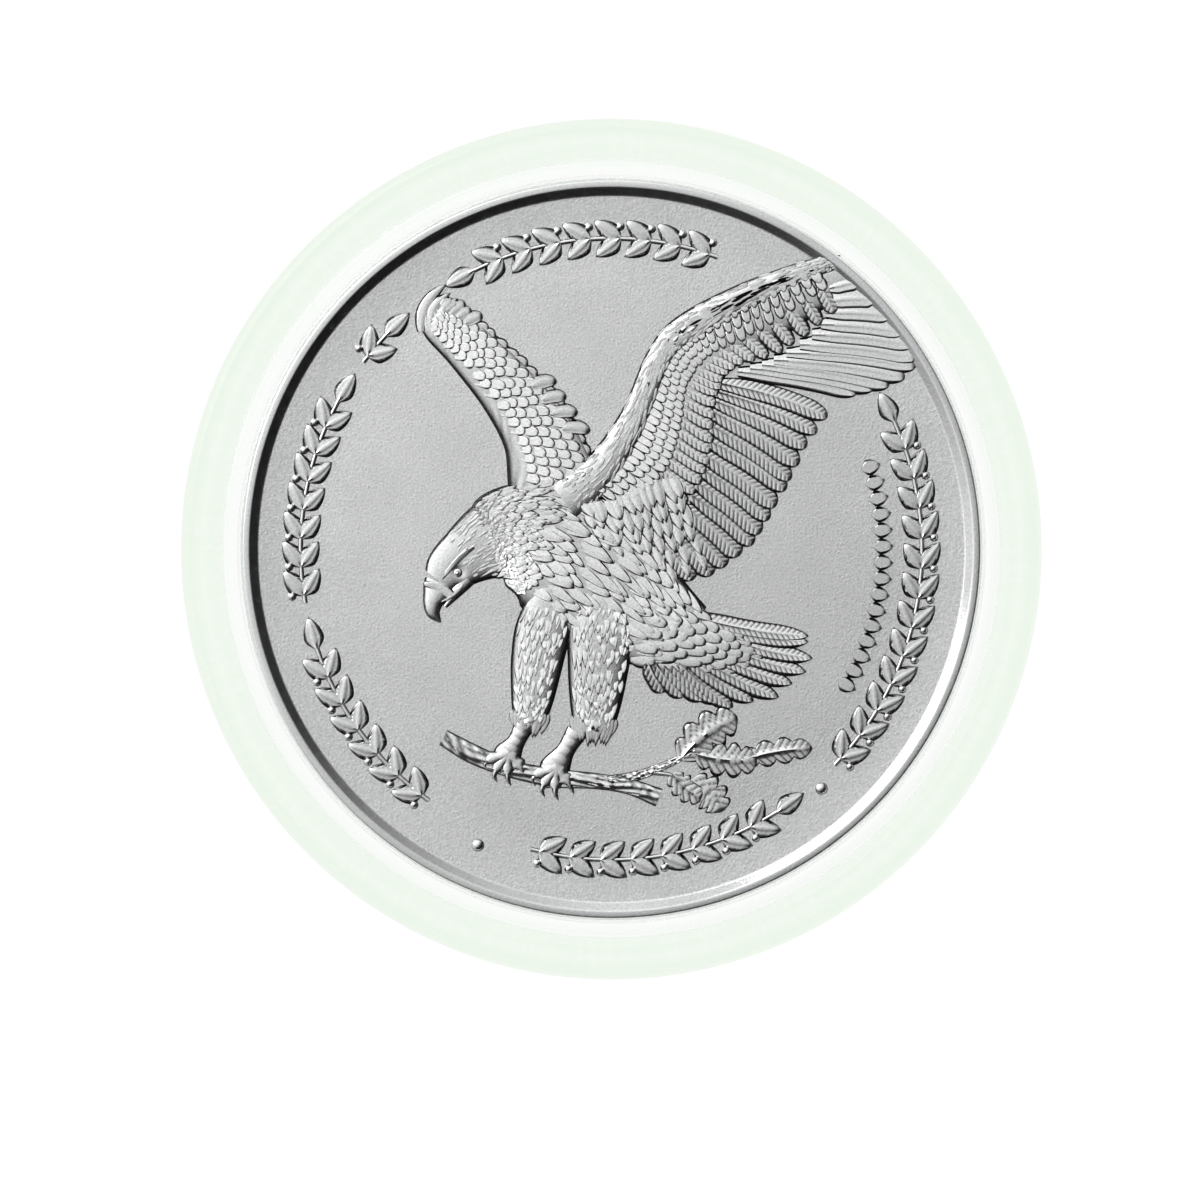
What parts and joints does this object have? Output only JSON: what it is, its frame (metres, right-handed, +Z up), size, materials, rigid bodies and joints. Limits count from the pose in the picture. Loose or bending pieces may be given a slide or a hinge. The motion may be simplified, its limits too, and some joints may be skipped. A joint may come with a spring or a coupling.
{
  "type": "coin capsule",
  "caption": "Round clear plastic coin capsule: a base with a seat wall, a push-fit lid with a window, and a silver-coloured medal-like coin inside.",
  "frame": {"origin": "centre of the capsule's base, on the surface that its rim stands on", "axes": "+Z up along the capsule's axis through the lid, +Y towards the top of the coin's upper design"},
  "size_m": [0.047, 0.047, 0.006],
  "materials": {
    "clear_plastic_base": "polished clear, faint green tint",
    "silver": "satin struck silver",
    "clear_plastic_lid": "polished clear, faint green tint"
  },
  "bodies": {
    "base": {"base": "clear_plastic_base"},
    "coin": {"coin": "silver"},
    "lid": {"lid": "clear_plastic_lid"}
  },
  "joints": [
    {"name": "coin_lift", "type": "slide", "parent": "base", "child": "coin", "axis": [0, 0, 1], "range_m": [0, 0.012]},
    {"name": "lid_lift", "type": "slide", "parent": "coin", "child": "lid", "axis": [0, 0, 1], "range_m": [0, 0.02]}
  ]
}
